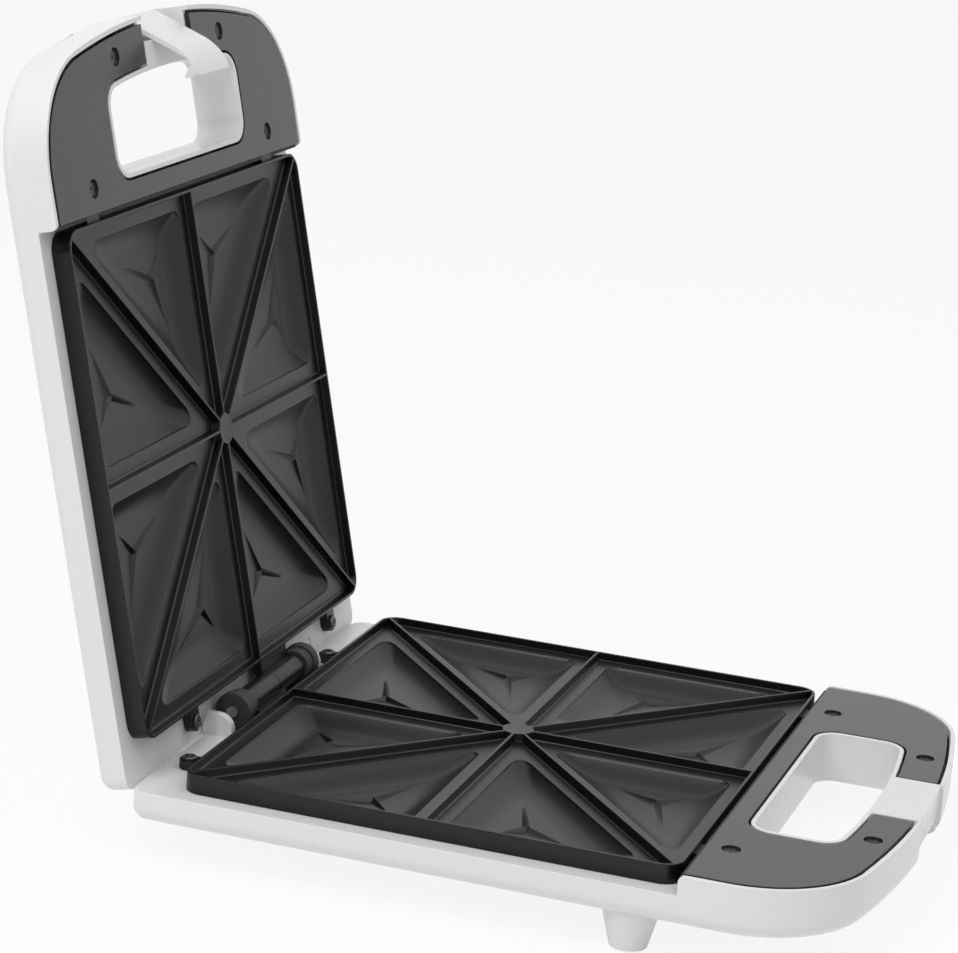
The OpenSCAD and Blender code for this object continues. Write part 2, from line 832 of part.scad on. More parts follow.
module thermostat() {
    top = ledge_z - cast_t - seat_gap;
    color("saddlebrown") {
        slab(top - thermostat_neck_h - thermostat_h, top - thermostat_neck_h) circle(thermostat_r);
        slab(top - thermostat_neck_h - blade_t, top) circle(thermostat_neck_r);
        for (s = [-1, 1])
            translate([s * thermostat_r / 2 - blade_t / 2, thermostat_r / 2, top - thermostat_neck_h - blade_w - blade_t])
                cube([blade_t, blade_len + thermostat_r / 2, blade_w]);
    }
}

module thermal_fuse() {
    color("ivory")
        translate([0, fuse_y, ledge_z - cast_t - seat_gap - fuse_r])
            rotate([-90, 0, 0])
                cylinder(r = fuse_r, h = fuse_len);
}

module terminal_block() {
    color("ivory")
        translate([block_at[0], block_at[1], floor_z + run_gap])
            difference() {
                translate([-block_w / 2, -block_d / 2, 0]) cube([block_w, block_d, block_h]);
                for (x = [-1, 1])
                    translate([x * block_w / 4, 0, block_h / 2]) cylinder(r = block_screw_r, h = block_h);
            }
}

module cord_gland() {
    color("black")
        translate([gland_at[0], gland_at[1], -shell_depth])
            difference() {
                union() {
                    cylinder(r = gland_r, h = wall_t + gland_flange_t);
                    translate([0, 0, -gland_flange_t]) cylinder(r = gland_flange_r, h = gland_flange_t);
                }
                translate([0, 0, -gland_flange_t - over])
                    cylinder(r = gland_bore_r, h = wall_t + 2 * gland_flange_t + 2 * over);
            }
}

module foot_pads() {
    color("dimgray")
        mirror_x()
            for (p = [foot_front, foot_rear])
                translate([p[0], p[1], -shell_depth - foot_h]) cylinder(r = pad_r, h = pad_out + pad_sunk);
}

module hinge_pin() {
    color("silver") along_x(-pin_end, pin_end) translate([hinge_y, hinge_up]) circle(pin_d / 2);
}

// Two dark ears stand in the base's well and carry the pin
module hinge_ears() {
    back = rear_y - wall_t - seat_gap;
    foot = -well_depth + seat_gap;
    color("dimgray") mirror_x() along_x(ear_x, ear_x + ear_t) difference() {
        union() {
            translate([hinge_y, hinge_up]) circle(ear_r);
            translate([hinge_y - ear_r, foot]) square([back - hinge_y + ear_r, hinge_up - foot]);
            translate([hinge_y - ear_r, -deck_drop + seat_gap])
                square([2 * ear_r - over, deck_drop - seat_gap + hinge_up]);
        }
        translate([hinge_y, hinge_up]) circle(pin_d / 2 + run_gap);
    }
}

module hinge_collars() {
    color("dimgray")
        mirror_x()
            along_x(knuckle_len + collar_gap, ear_x - collar_gap)
                translate([hinge_y, hinge_up]) difference() {
                    circle(collar_r);
                    circle(pin_d / 2 + run_gap);
                }
}

module lamp_lens(side) {
    translate([side * lamp_at[0], lamp_at[1], -shell_depth - lens_up]) {
        cylinder(r = lens_r, h = lens_up + wall_t);
        translate([0, 0, lens_up + wall_t]) cylinder(r = lens_flange_r, h = lens_flange_t);
    }
}

module neon_lamps() {
    color("orange")
        mirror_x()
            translate([lamp_at[0], lamp_at[1], floor_z + lens_flange_t + seat_gap])
                cylinder(r = neon_r, h = neon_len);
}

// Latch clip, drawn in its own frame: first axis inward, second axis away from the pivot
module clip_profile() {
    inner = -clip_in;
    difference() {
        union() {
            translate([-clip_out, clip_tail]) square([clip_t, clip_reach + clip_end - clip_tail]);
            circle(latch_knuckle_r);
            polygon([[inner - clip_t / 2, clip_tail], [0, -latch_knuckle_r * knuckle_share], [0, latch_knuckle_r],
                     [inner - clip_t / 2, clip_tail + clip_out]]);
            polygon([[inner - clip_t / 2, clip_reach - tooth_round_r], [inner, clip_reach - tooth_round_r],
                     [inner + tooth_round_r, clip_reach], [inner + tooth_len, clip_reach],
                     [inner + tooth_len, clip_reach + tooth_tip_t], [inner + tooth_len / 2, clip_reach + clip_end],
                     [inner - clip_t / 2, clip_reach + clip_end]]);
        }
        circle(latch_pin_r + run_gap);
        difference() {
            translate([-clip_out - over, clip_reach + clip_end - toe_r * toe_share])
                square([toe_r, toe_r * toe_share + over]);
            translate([-clip_out + toe_r, clip_reach + clip_end - toe_r * toe_share]) circle(toe_r);
        }
    }
}

module clip_face() {
    end = clip_reach + clip_end;
    tail = latch_knuckle_r + over;
    translate([-clip_w / 2, -tail]) square([clip_w, end + tail - clip_corner_r]);
    translate([-clip_w / 2 + clip_corner_r, -tail]) square([clip_w - 2 * clip_corner_r, end + tail]);
    for (s = [-1, 1]) translate([s * (clip_w / 2 - clip_corner_r), end - clip_corner_r]) circle(clip_corner_r);
}

module latch_place() {
    lid_place()
        translate([0, latch_y, latch_z])
            rotate([-latch_rest, 0, 0])
                children();
}

module latch_clip() {
    color("white") intersection() {
        along_x(-clip_w / 2, clip_w / 2) clip_profile();
        translate([0, clip_w / 2, 0]) rotate([90, 0, 0]) linear_extrude(clip_w) clip_face();
    }
}

module latch_pin() {
    end = channel_w / 2 + channel_wall_t;
    color("silver")
        lid_place()
            along_x(-end, end)
                translate([latch_y, latch_z]) circle(latch_pin_r);
}

base_place() base_shell();
base_place() color([0.16, 0.16, 0.17]) plate_casting(hinge_up);  // base_plate
base_place() color([0.2, 0.2, 0.21]) trim();  // base_trim
base_place() trim_screws();  // base_trim_screws
base_place() lug_screws();  // base_lug_screws
base_place() element();  // base_element
base_place() element_clips();  // base_element_clips
base_place() reflector();  // base_reflector
base_place() thermostat();
base_place() thermal_fuse();
base_place() terminal_block();
base_place() cord_gland();
base_place() foot_pads();
base_place() hinge_pin();
base_place() hinge_ears();
base_place() hinge_collars();
lid_place() lid_shell();
lid_place() color([0.16, 0.16, 0.17]) plate_casting(lid_axis_z);  // lid_plate
lid_place() color([0.2, 0.2, 0.21]) trim();  // lid_trim
lid_place() trim_screws();  // lid_trim_screws
lid_place() lug_screws();  // lid_lug_screws
lid_place() element();  // lid_element
lid_place() element_clips();  // lid_element_clips
lid_place() reflector();  // lid_reflector
lid_place() color("red") lamp_lens(-1);  // power_lamp_lens
lid_place() color("green") lamp_lens(1);  // ready_lamp_lens
lid_place() neon_lamps();
latch_place() latch_clip();
latch_pin();
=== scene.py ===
"""The looks of a sandwich toaster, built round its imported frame."""

import json
import logging
import math
from dataclasses import dataclass
from enum import Enum

import bmesh
import bpy
from mathutils import Matrix, Vector
from mathutils.geometry import area_tri, intersect_line_line_2d, intersect_point_line


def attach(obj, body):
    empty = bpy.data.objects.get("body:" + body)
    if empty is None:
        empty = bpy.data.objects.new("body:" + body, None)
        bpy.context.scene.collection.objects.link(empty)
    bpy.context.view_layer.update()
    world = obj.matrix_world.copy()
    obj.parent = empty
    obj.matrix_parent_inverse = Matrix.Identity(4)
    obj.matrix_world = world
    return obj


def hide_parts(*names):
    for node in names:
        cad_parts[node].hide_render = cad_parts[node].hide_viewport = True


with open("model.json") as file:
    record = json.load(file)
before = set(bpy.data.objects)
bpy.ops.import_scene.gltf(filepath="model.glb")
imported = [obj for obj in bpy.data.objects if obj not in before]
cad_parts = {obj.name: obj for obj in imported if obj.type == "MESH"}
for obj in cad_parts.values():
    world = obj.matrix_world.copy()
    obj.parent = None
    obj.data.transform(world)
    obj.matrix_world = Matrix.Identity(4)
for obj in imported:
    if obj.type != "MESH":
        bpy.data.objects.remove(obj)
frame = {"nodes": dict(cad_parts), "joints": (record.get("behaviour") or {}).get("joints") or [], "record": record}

log = logging.getLogger("sandwich_toaster")

Shape = bmesh.types.BMesh
Face = bmesh.types.BMFace
Edge = bmesh.types.BMEdge
Corner = bmesh.types.BMVert
Socket = bpy.types.NodeSocket
Profile = list[tuple[float, float]]

IMAGE_WIDTH_PX = 958
SENSOR_WIDTH_MM = 36.0
HINGE_BACK = 0.11954
HINGE_HEIGHT = -0.000727
RIM_GAP = 0.0008
MERGE_DISTANCE = 1e-6
CUT_DISTANCE = 1e-7
ROUND_STEPS = 32
WHITE = (1.0, 1.0, 1.0, 1.0)
MIX_DARK, MIX_LIGHT, MIX_RESULT = 6, 7, 2  # a Mix node's sockets for colours
SCREW_SETS = (
    {"kind": "trim_screws", "radius": 0.0037, "height": 0.0006,
     "at": ((-0.09465, -0.12175, -0.0014), (0.09465, -0.12175, -0.0014),
            (-0.05565, -0.17235, -0.0014), (0.05565, -0.17235, -0.0014))},
    {"kind": "lug_screws", "radius": 0.0032, "height": 0.0013,
     "at": ((-0.0965, 0.116, -0.0031), (0.0672, 0.116, -0.0031))},
)


class Nodes:
    """A small writer of the node tree of a material or a world."""

    def __init__(self, owner: bpy.types.Material | bpy.types.World) -> None:
        """Starts from the one shader that a new tree holds.

        Args:
            owner: the new material or world
        """
        owner.use_nodes = True
        self.owner, self.tree = owner, owner.node_tree
        self.shader = self.tree.nodes.get("Principled BSDF") or self.tree.nodes["Background"]

    def add(self, kind: str, **values: object) -> bpy.types.Node:
        """Adds a node and sets its properties and unlinked sockets.

        Args:
            kind: Blender's name of the node type
            values: property or socket values, with underscores for blanks in socket names

        Returns:
            The new node.
        """
        node = self.tree.nodes.new(kind)
        for key, value in values.items():
            socket = key.replace("_", " ")
            if socket in node.inputs:
                node.inputs[socket].default_value = value
            else:
                setattr(node, key, value)
        return node

    def link(self, source: Socket, target: Socket) -> None:
        """Joins an output to an input."""
        self.tree.links.new(source, target)

    def surface(self, **values: object) -> None:
        """Gives the shader its constants, and joins it to the patterns that vary.

        Args:
            values: a number, colour or socket for each of its sockets, with underscores for blanks
        """
        for key, value in values.items():
            target = self.shader.inputs[key.replace("_", " ")]
            if isinstance(value, Socket):
                self.link(value, target)
            else:
                target.default_value = value

    def noise(self, scale: float, detail: float = 3.0) -> Socket:
        """Adds a noise pattern on the object's coordinates.

        Args:
            scale: features per metre
            detail: octaves of finer noise

        Returns:
            The pattern's value socket.
        """
        pattern = self.add("ShaderNodeTexNoise", Scale=scale, Detail=detail)
        self.link(self.add("ShaderNodeTexCoord").outputs["Object"], pattern.inputs["Vector"])
        return pattern.outputs["Fac"]

    def ramp(self, value: Socket, low: float, high: float) -> Socket:
        """Maps a value from 0 to 1 onto a range.

        Args:
            value: the socket to map
            low: result at 0
            high: result at 1

        Returns:
            The mapped socket.
        """
        mapped = self.add("ShaderNodeMapRange", To_Min=low, To_Max=high)
        self.link(value, mapped.inputs["Value"])
        return mapped.outputs["Result"]

    def tint(self, value: Socket, dark: tuple, light: tuple) -> Socket:
        """Mixes two colours by a value.

        Args:
            value: the mixing socket
            dark: colour at 0
            light: colour at 1

        Returns:
            The colour socket.
        """
        mixed = self.add("ShaderNodeMix", data_type="RGBA")
        mixed.inputs[MIX_DARK].default_value = (*dark, 1.0)
        mixed.inputs[MIX_LIGHT].default_value = (*light, 1.0)
        self.link(value, mixed.inputs["Factor"])
        return mixed.outputs[MIX_RESULT]

    def seen(self) -> Socket:
        """Makes a value that is 1 for rays from the camera and for reflections, else 0.

        Returns:
            The value's socket.
        """
        path = self.add("ShaderNodeLightPath")
        either = self.add("ShaderNodeMath", operation="MAXIMUM")
        self.link(path.outputs["Is Camera Ray"], either.inputs[0])
        self.link(path.outputs["Is Glossy Ray"], either.inputs[1])
        return either.outputs["Value"]

    def bump(self, height: Socket, depth: float) -> None:
        """Feeds a height pattern into the shader's normal.

        Args:
            height: the pattern, from 0 to 1
            depth: depth of the pattern in metres
        """
        bump = self.add("ShaderNodeBump", Distance=depth, Strength=1.0)
        self.link(height, bump.inputs["Height"])
        self.link(bump.outputs["Normal"], self.shader.inputs["Normal"])


@dataclass(frozen=True)
class Moulded:
    """Moulded plastic or resin with a faint grain."""

    name: str
    colour: tuple
    shade: float = 0.97
    cloud_per_m: float = 35.0
    roughness: float = 0.32
    roughness_spread: float = 0.06
    gloss_per_m: float = 220.0
    grain_per_m: float = 1800.0
    grain_detail: float = 4.0
    grain_depth: float = 0.00001
    coat: float = 0.0
    specular: float = 0.5

    def make(self) -> bpy.types.Material:
        """Builds the material.

        Returns:
            The material.
        """
        nodes = Nodes(bpy.data.materials.new(self.name))
        darker = tuple(channel * self.shade for channel in self.colour)
        low, high = self.roughness - self.roughness_spread, self.roughness + self.roughness_spread
        nodes.surface(Base_Color=nodes.tint(nodes.noise(self.cloud_per_m), darker, self.colour),
                      Roughness=nodes.ramp(nodes.noise(self.gloss_per_m), low, high),
                      Coat_Weight=self.coat, Specular_IOR_Level=self.specular)
        nodes.bump(nodes.noise(self.grain_per_m, self.grain_detail), self.grain_depth)
        return nodes.owner


@dataclass(frozen=True)
class Coating:
    """Matt non-stick coating sprayed on cast metal."""

    name: str
    colour: tuple = (0.0012, 0.0012, 0.0013)
    light: tuple = (0.0055, 0.0055, 0.0057)
    least_roughness: float = 0.10
    most_roughness: float = 0.22
    gloss_per_m: float = 90.0
    specular: float = 0.12
    speckle_per_m: float = 1900.0
    speckle_detail: float = 5.0
    speckle_depth: float = 0.00005

    def make(self) -> bpy.types.Material:
        """Builds the material.

        Returns:
            The material.
        """
        nodes = Nodes(bpy.data.materials.new(self.name))
        speckle = nodes.noise(self.speckle_per_m, self.speckle_detail)
        smears = nodes.noise(self.gloss_per_m)
        nodes.surface(Base_Color=nodes.tint(speckle, self.colour, self.light),
                      Roughness=nodes.ramp(smears, self.least_roughness, self.most_roughness),
                      Specular_IOR_Level=self.specular)
        nodes.bump(speckle, self.speckle_depth)
        return nodes.owner


@dataclass(frozen=True)
class Metal:
    """Bare or darkened metal with fine tool marks."""

    name: str
    colour: tuple
    roughness: float = 0.3
    metallic: float = 1.0
    shade: float = 0.85
    roughness_share: float = 0.2
    specular: float = 0.5
    mark_per_m: float = 1500.0
    mark_detail: float = 4.0
    mark_depth: float = 0.00001

    def make(self) -> bpy.types.Material:
        """Builds the material.

        Returns:
            The material.
        """
        nodes = Nodes(bpy.data.materials.new(self.name))
        marks = nodes.noise(self.mark_per_m, self.mark_detail)
        darker = tuple(channel * self.shade for channel in self.colour)
        low, high = (self.roughness * (1.0 + side * self.roughness_share) for side in (-1.0, 1.0))
        nodes.surface(Base_Color=nodes.tint(marks, darker, self.colour),
                      Roughness=nodes.ramp(marks, low, high),
                      Metallic=self.metallic, Specular_IOR_Level=self.specular)
        nodes.bump(marks, self.mark_depth)
        return nodes.owner


class Finish(Enum):
    """The finishes of the toaster's pieces."""

    HOUSING = Moulded("white_housing", (0.80, 0.79, 0.795))
    TRIM = Moulded("black_trim", (0.012, 0.012, 0.013), roughness=0.07, roughness_spread=0.02,
                   grain_depth=0.000002)
    PLATE = Coating("coated_plate")
    SCREW = Metal("dark_screw", (0.004, 0.004, 0.004), roughness=0.7, metallic=0.0, specular=0.2)
    PIN = Metal("steel_pin", (0.015, 0.015, 0.016), roughness=0.4)
    COLLAR = Moulded("dark_collar", (0.003, 0.003, 0.003), roughness=0.22, specular=0.2)
    SHEATH = Metal("element_sheath", (0.16, 0.15, 0.14), roughness=0.5)
    SHEET = Metal("bright_sheet", (0.78, 0.78, 0.79), roughness=0.25)
    RESIN = Moulded("phenolic", (0.10, 0.055, 0.03), shade=0.8, roughness=0.5)
    CERAMIC = Moulded("ceramic_white", (0.80, 0.78, 0.72), roughness=0.25)
    RUBBER = Moulded("black_rubber", (0.02, 0.02, 0.02), roughness=0.7, grain_depth=0.00003)
    RED_LENS = Moulded("red_lens", (0.55, 0.02, 0.012), roughness=0.12, coat=0.4)
    GREEN_LENS = Moulded("green_lens", (0.02, 0.35, 0.06), roughness=0.12, coat=0.4)
    LAMP = Moulded("lamp_glass", (0.75, 0.38, 0.2), roughness=0.1, coat=0.5)

    def material(self) -> bpy.types.Material:
        """Gives this finish's material, made once."""
        return bpy.data.materials.get(self.value.name) or self.value.make()


def dress(piece: bpy.types.Object, finish: Finish) -> None:
    """Gives a piece one finish all over."""
    piece.data.materials.clear()
    piece.data.materials.append(finish.material())


def add_object(shape: Shape, name: str) -> bpy.types.Object:
    """Turns a shape into an object of the scene.

    Args:
        shape: the shape, which is freed
        name: name of the object and its mesh

    Returns:
        The object.
    """
    mesh = bpy.data.meshes.new(name)
    shape.to_mesh(mesh)
    shape.free()
    made = bpy.data.objects.new(name, mesh)
    bpy.context.scene.collection.objects.link(made)
    return made


def finish_piece(shape: Shape, name: str, place: Matrix, body: str, finish: Finish,
                 nodes: tuple = (), shade_deg: float = 40.0) -> None:
    """Turns a shape into a dressed piece that rides on its body, smooth between its sharp edges.

    Args:
        shape: the shape, which is freed
        name: name of the piece
        place: from the shape's own frame to the toaster's
        body: the body that carries it
        finish: its finish
        nodes: the CAD nodes that it stands for
        shade_deg: edges that turn by more than this stay sharp
    """
    bmesh.ops.remove_doubles(shape, verts=shape.verts, dist=MERGE_DISTANCE)
    bmesh.ops.recalc_face_normals(shape, faces=shape.faces)
    shape.transform(place)
    shape.normal_update()
    for face in shape.faces:
        face.smooth = True
    for edge in shape.edges:
        edge.smooth = edge.is_manifold and edge.calc_face_angle(0.0) < math.radians(shade_deg)
    log.info("%s built, %d faces", name, len(shape.faces))
    piece = add_object(shape, name)
    piece.modifiers.new("flat_faces", "WEIGHTED_NORMAL").keep_sharp = True
    dress(piece, finish)
    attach(piece, body)
    if nodes:
        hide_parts(*nodes)


def bevel(shape: Shape, geom: list, radius: float, segments: int, affect: str = "EDGES") -> list[Corner]:
    """Rounds edges, or corners where affect is VERTICES, and gives the new corners."""
    return bmesh.ops.bevel(shape, geom=geom, offset=radius, segments=segments, affect=affect, profile=0.5,
                           clamp_overlap=False, material=-1)["verts"]


def largest_face(corner: Corner) -> Face:
    """Gives the face with the most corners of those that meet at a corner."""
    return max(corner.link_faces, key=lambda face: len(face.verts))


def lay_face(shape: Shape, points: list) -> Face:
    """Adds a face through the given points."""
    return shape.faces.new([shape.verts.new(point) for point in points])


def open_face(shape: Shape, face: Face) -> list[Edge]:
    """Takes a face out of a shape.

    Args:
        shape: the shape
        face: the face

    Returns:
        The edges of its outline, which stay.
    """
    outline = list(face.edges)
    bmesh.ops.delete(shape, geom=[face], context="FACES_ONLY")
    return outline


def fill(shape: Shape, outlines: list[Edge], facing: float = 1.0) -> None:
    """Fills the flat area between closed outlines, which faces up for 1 and down for -1."""
    bmesh.ops.triangle_fill(shape, use_beauty=True, edges=outlines, normal=(0.0, 0.0, facing))


def keep_side(shape: Shape, point: Vector, outward: Vector) -> None:
    """Cuts a shape by the plane through a point and drops what lies outward of it."""
    bmesh.ops.bisect_plane(shape, geom=shape.verts[:] + shape.edges[:] + shape.faces[:],
                           dist=CUT_DISTANCE, plane_co=point, plane_no=outward, clear_outer=True)


def scale_flat(shape: Shape, face: Face, centre: Vector, share: float) -> None:
    """Scales a level face about a centre."""
    bmesh.ops.scale(shape, vec=(share, share, 1.0), space=Matrix.Translation(-centre), verts=face.verts)


def lower_face(shape: Shape, face: Face, centre: Vector, share: float, drop: float) -> Face:
    """Extrudes a face, drawn in towards a centre and lowered.

    Args:
        shape: the shape
        face: the face to extrude
        centre: the point it is drawn towards
        share: size of the new face as a share of the old one
        drop: how far it sinks

    Returns:
        The new face.
    """
    made = bmesh.ops.extrude_discrete_faces(shape, faces=[face])["faces"][0]
    scale_flat(shape, made, centre, share)
    bmesh.ops.translate(shape, vec=(0.0, 0.0, -drop), verts=made.verts)
    return made


def thicken(shape: Shape, face: Face, along: tuple) -> Face:
    """Extrudes a single face into a closed body.

    Args:
        shape: the shape
        face: the face, which becomes one end
        along: from that end to the other

    Returns:
        The face at the other end.
    """
    made = bmesh.ops.extrude_face_region(shape, geom=[face])["geom"]
    end = next(item for item in made if isinstance(item, Face))
    bmesh.ops.translate(shape, vec=along, verts=end.verts)
    return end


def quarter(steps: int) -> list[float]:
    """Gives the angles of a quarter turn, without its start."""
    return [math.radians(90.0 * step / steps) for step in range(1, steps + 1)]


def rounding(radius: float, steps: int = 3) -> Profile:
    """Gives how far in and down each step of a rounding goes that starts straight inwards."""
    return [(radius * math.sin(angle), radius * (1.0 - math.cos(angle))) for angle in quarter(steps)]


def halves() -> list[tuple[str, Matrix, float]]:
    """Works out where the two halves lie, from the hinge in the frame.

    Returns:
        For each half its name, which is also its body, the matrix from its own frame to the
        toaster's, and the hinge axis's height in it. In a half's own frame the rim plane is at
        height zero and the handle lies towards -Y.
    """
    hinge = next(joint for joint in frame["joints"] if joint["name"] == "lid_hinge")
    axis = Matrix.Translation(hinge["pos_m"])
    opened = Matrix.Rotation(-math.radians(hinge["range_deg"][1]), 4, "X")
    upside_down = Matrix.Rotation(math.pi, 4, "Y")
    lid_height = RIM_GAP - HINGE_HEIGHT
    base = axis @ Matrix.Translation((0.0, -HINGE_BACK, -HINGE_HEIGHT))
    lid = axis @ opened @ Matrix.Translation((0.0, -HINGE_BACK, lid_height)) @ upside_down
    return [("base", base, HINGE_HEIGHT), ("lid", lid, lid_height)]


@dataclass(frozen=True)
class Pocket:
    """Where a plate's pocket lies between its two ribs, seen from the hub.

    Each rib has its direction and the level direction from it into the pocket. The corners are the
    pocket's sharp ones, counter-clockwise, the one at the hub first.
    """

    ribs: list[tuple[Vector, Vector]]
    spread: float
    middle: Vector
    corners: list[Vector]
    centre: Vector
    radius: float


@dataclass
class CookingPlate:
    """A cast plate with eight pockets between its ribs."""

    half: str
    place: Matrix
    axis_height: float
    width: float = 0.250
    depth: float = 0.2163
    corner: float = 0.009
    corner_steps: int = 8
    rib_height: float = 0.0039
    crest: float = 0.0013
    crest_round: float = 0.0003
    rib_draft: float = 0.0004
    rib_root: float = 0.0009
    root_steps: int = 4
    sharp_deg: float = 40.0
    end_share: float = 1.3
    cast: float = 0.0022
    skirt: float = 0.0084
    hub: float = 0.01515
    pocket_ledge: float = 0.008
    pocket_corner: float = 0.005
    pocket_corner_steps: int = 8
    pocket_depth: float = 0.0063
    pocket_wall: float = 0.0010
    pocket_lip: float = 0.0006
    pocket_draft: float = 0.0004
    pocket_sweep: float = 0.0140
    sweep_steps: int = 12
    sweep_power: float = 2.3
    bulge_steps: int = 4
    star_height: float = 0.0019
    star_width: float = 0.0018
    star_tip_share: float = 0.3
    star_reach_share: float = 0.42
    grain: float = 0.0028
    floor_rings: int = 16
    lug_places: tuple = (-0.0965, 0.0672)
    lug_back: float = 0.00785
    lug_radius: float = 0.0045
    lug_drop: float = 0.0044
    tab_side: float = 0.03035
    tab_front: float = 0.0136
    tab_radius: float = 0.006
    tab_top: float = 0.0025
    tab_thickness: float = 0.0024
    tongue_edge_steps: int = 2
    knuckle_length: float = 0.030
    knuckle_gap: float = 0.00015
    knuckle_radius: float = 0.006
    knuckle_steps: int = 48
    arm_thickness: float = 0.004
    arm_edge_steps: int = 3
    pin_radius: float = 0.00255
    shade_deg: float = 50.0

    def build(self) -> None:
        """Builds the plate."""
        shape = bmesh.new()
        pockets = self.pockets()
        for pocket in pockets:
            cell = self.compartment(pocket)
            mesh = bpy.data.meshes.new("cell")
            cell.to_mesh(mesh)
            cell.free()
            shape.from_mesh(mesh)
            bpy.data.meshes.remove(mesh)
        self.underside(shape, self.crest_and_skirt(shape), pockets)
        rim = self.depth / 2.0
        for x in self.lug_places:
            self.tongue(shape, (x, rim + self.lug_back, -self.lug_drop), self.lug_radius,
                        self.skirt - self.lug_drop)
        for side in (-1.0, 1.0):
            x = side * (self.width / 2.0 - self.tab_side)
            self.tongue(shape, (x, -rim - self.tab_front, -self.tab_top), self.tab_radius,
                        self.tab_thickness)
        self.knuckle(shape)
        self.arm(shape)
        finish_piece(shape, f"cooking_plate_{self.half}", self.place, self.half, Finish.PLATE,
                     (f"{self.half}_plate",), self.shade_deg)

    def pockets(self) -> list[Pocket]:
        """Works out the eight pockets from the directions of the ribs.

        Returns:
            The pockets, counter-clockwise.
        """
        slant = math.atan2(self.depth, self.width)
        turn = math.pi / 2.0
        ribs = [0.0, slant, turn, 2.0 * turn - slant, 2.0 * turn, 2.0 * turn + slant, 3.0 * turn,
                4.0 * turn - slant, 4.0 * turn]
        return [self.pocket_between(first, second) for first, second in zip(ribs, ribs[1:])]

    def pocket_between(self, first: float, second: float) -> Pocket:
        """Works out one pocket.

        Args:
            first: direction of the rib on the right, seen from the hub
            second: direction of the rib on the left

        Returns:
            The pocket.
        """
        ribs = [(Vector((math.cos(angle), math.sin(angle), 0.0)),
                 Vector((-math.sin(angle), math.cos(angle), 0.0)) * side)
                for angle, side in ((first, 1.0), (second, -1.0))]
        middle = Vector((math.cos((first + second) / 2.0), math.sin((first + second) / 2.0), 0.0))
        spread = second - first
        half = Vector((self.width / 2.0 - self.pocket_ledge, self.depth / 2.0 - self.pocket_ledge, 0.0))
        axis = 0 if abs(middle.x) * self.depth > abs(middle.y) * self.width else 1
        reach = math.copysign(half[axis], middle[axis])
        corners = [middle * (self.pocket_ledge / math.sin(spread / 2.0))]
        for along, inward in ribs:
            start = inward * self.pocket_ledge
            corners.append(start + along * ((reach - start[axis]) / along[axis]))
        for corner in corners:
            corner.z = -self.rib_height
        sides = [(corners[i - 1] - corners[i - 2]).length for i in range(3)]
        centre = sum((corner * side for corner, side in zip(corners, sides)), Vector()) / sum(sides)
        round_half = sum(sides) / 2.0
        radius = math.sqrt(math.prod((round_half - side for side in sides), start=round_half)) / round_half
        return Pocket(ribs, spread, middle, corners, centre, radius)

    def outline(self, shape: Shape, inset: float) -> Face:
        """Lays the plate's outline as a flat face at height zero.

        Args:
            shape: the shape it is added to
            inset: how far it is drawn in

        Returns:
            The face.
        """
        verts = bmesh.ops.create_grid(shape, x_segments=1, y_segments=1, size=0.5)["verts"]
        size = (self.width - 2.0 * inset, self.depth - 2.0 * inset, 1.0)
        bmesh.ops.scale(shape, vec=size, verts=verts)
        return largest_face(bevel(shape, verts, self.corner - inset, self.corner_steps, "VERTICES")[0])

    def compartment(self, pocket: Pocket) -> Shape:
        """Makes the walls, ledge and pocket between two ribs.

        Args:
            pocket: the pocket

        Returns:
            The shape, open at its top.
        """
        shape = bmesh.new()
        self.outline(shape, self.crest - self.crest_round)
        for _, inward in pocket.ribs:
            keep_side(shape, inward * (self.crest / 2.0 - self.crest_round), -inward)
        flat = self.hub / 2.0 * math.cos(pocket.spread / 2.0) - self.crest_round
        keep_side(shape, pocket.middle * flat, -pocket.middle)
        self.lengthen_ends(shape)
        face = next(iter(shape.faces))
        face.normal_update()
        if face.normal.z < 0.0:
            face.normal_flip()
        side = self.crest_round + self.rib_draft
        low = self.rib_height - self.rib_root
        steps = rounding(self.crest_round) + [(side, low)]
        steps += [(side + down, low + across) for across, down in rounding(self.rib_root, self.root_steps)]
        across, down = 0.0, 0.0
        for inset, drop in steps:
            bmesh.ops.inset_individual(shape, faces=[face], thickness=inset - across, depth=down - drop,
                                       use_even_offset=True)
            across, down = inset, drop
        rim = self.round_corners(shape, lay_face(shape, pocket.corners))
        ledge = open_face(shape, face)
        scale_flat(shape, rim, pocket.centre, 1.0 + self.pocket_lip / pocket.radius)
        fill(shape, ledge + list(rim.edges))
        self.sink_pocket(shape, rim, pocket)
        return shape

    def lengthen_ends(self, shape: Shape) -> None:
        """Joins short edges to their neighbours beside sharp corners, where an inset would cross.

        Args:
            shape: the flat outline of a compartment
        """
        sharp = math.radians(self.sharp_deg)
        least = self.end_share * (self.crest_round + self.rib_draft + self.rib_root)
        while short := [end for edge in shape.edges for end in edge.verts
                        if edge.calc_length() < least and self.turn(end) < sharp
                        and self.turn(edge.other_vert(end)) > sharp]:
            bmesh.ops.dissolve_verts(shape, verts=short[:1])

    def turn(self, corner: Corner) -> float:
        """Gives the angle by which an outline turns at a corner."""
        before, after = (edge.other_vert(corner).co - corner.co for edge in corner.link_edges)
        return math.pi - before.angle(after)

    def round_corners(self, shape: Shape, face: Face) -> Face:
        """Rounds a pocket's corners and divides its sides evenly.

        Args:
            shape: the compartment
            face: the triangle

        Returns:
            The face of the rounded outline.
        """
        for vert in list(face.verts):
            reach = self.pocket_corner * math.tan(self.turn(vert) / 2.0)
            face = largest_face(bevel(shape, [vert], reach, self.pocket_corner_steps, "VERTICES")[0])
        for edge in list(face.edges):
            cuts = int(edge.calc_length() / self.grain)
            if cuts:
                bmesh.ops.subdivide_edges(shape, edges=[edge], cuts=cuts)
        return face

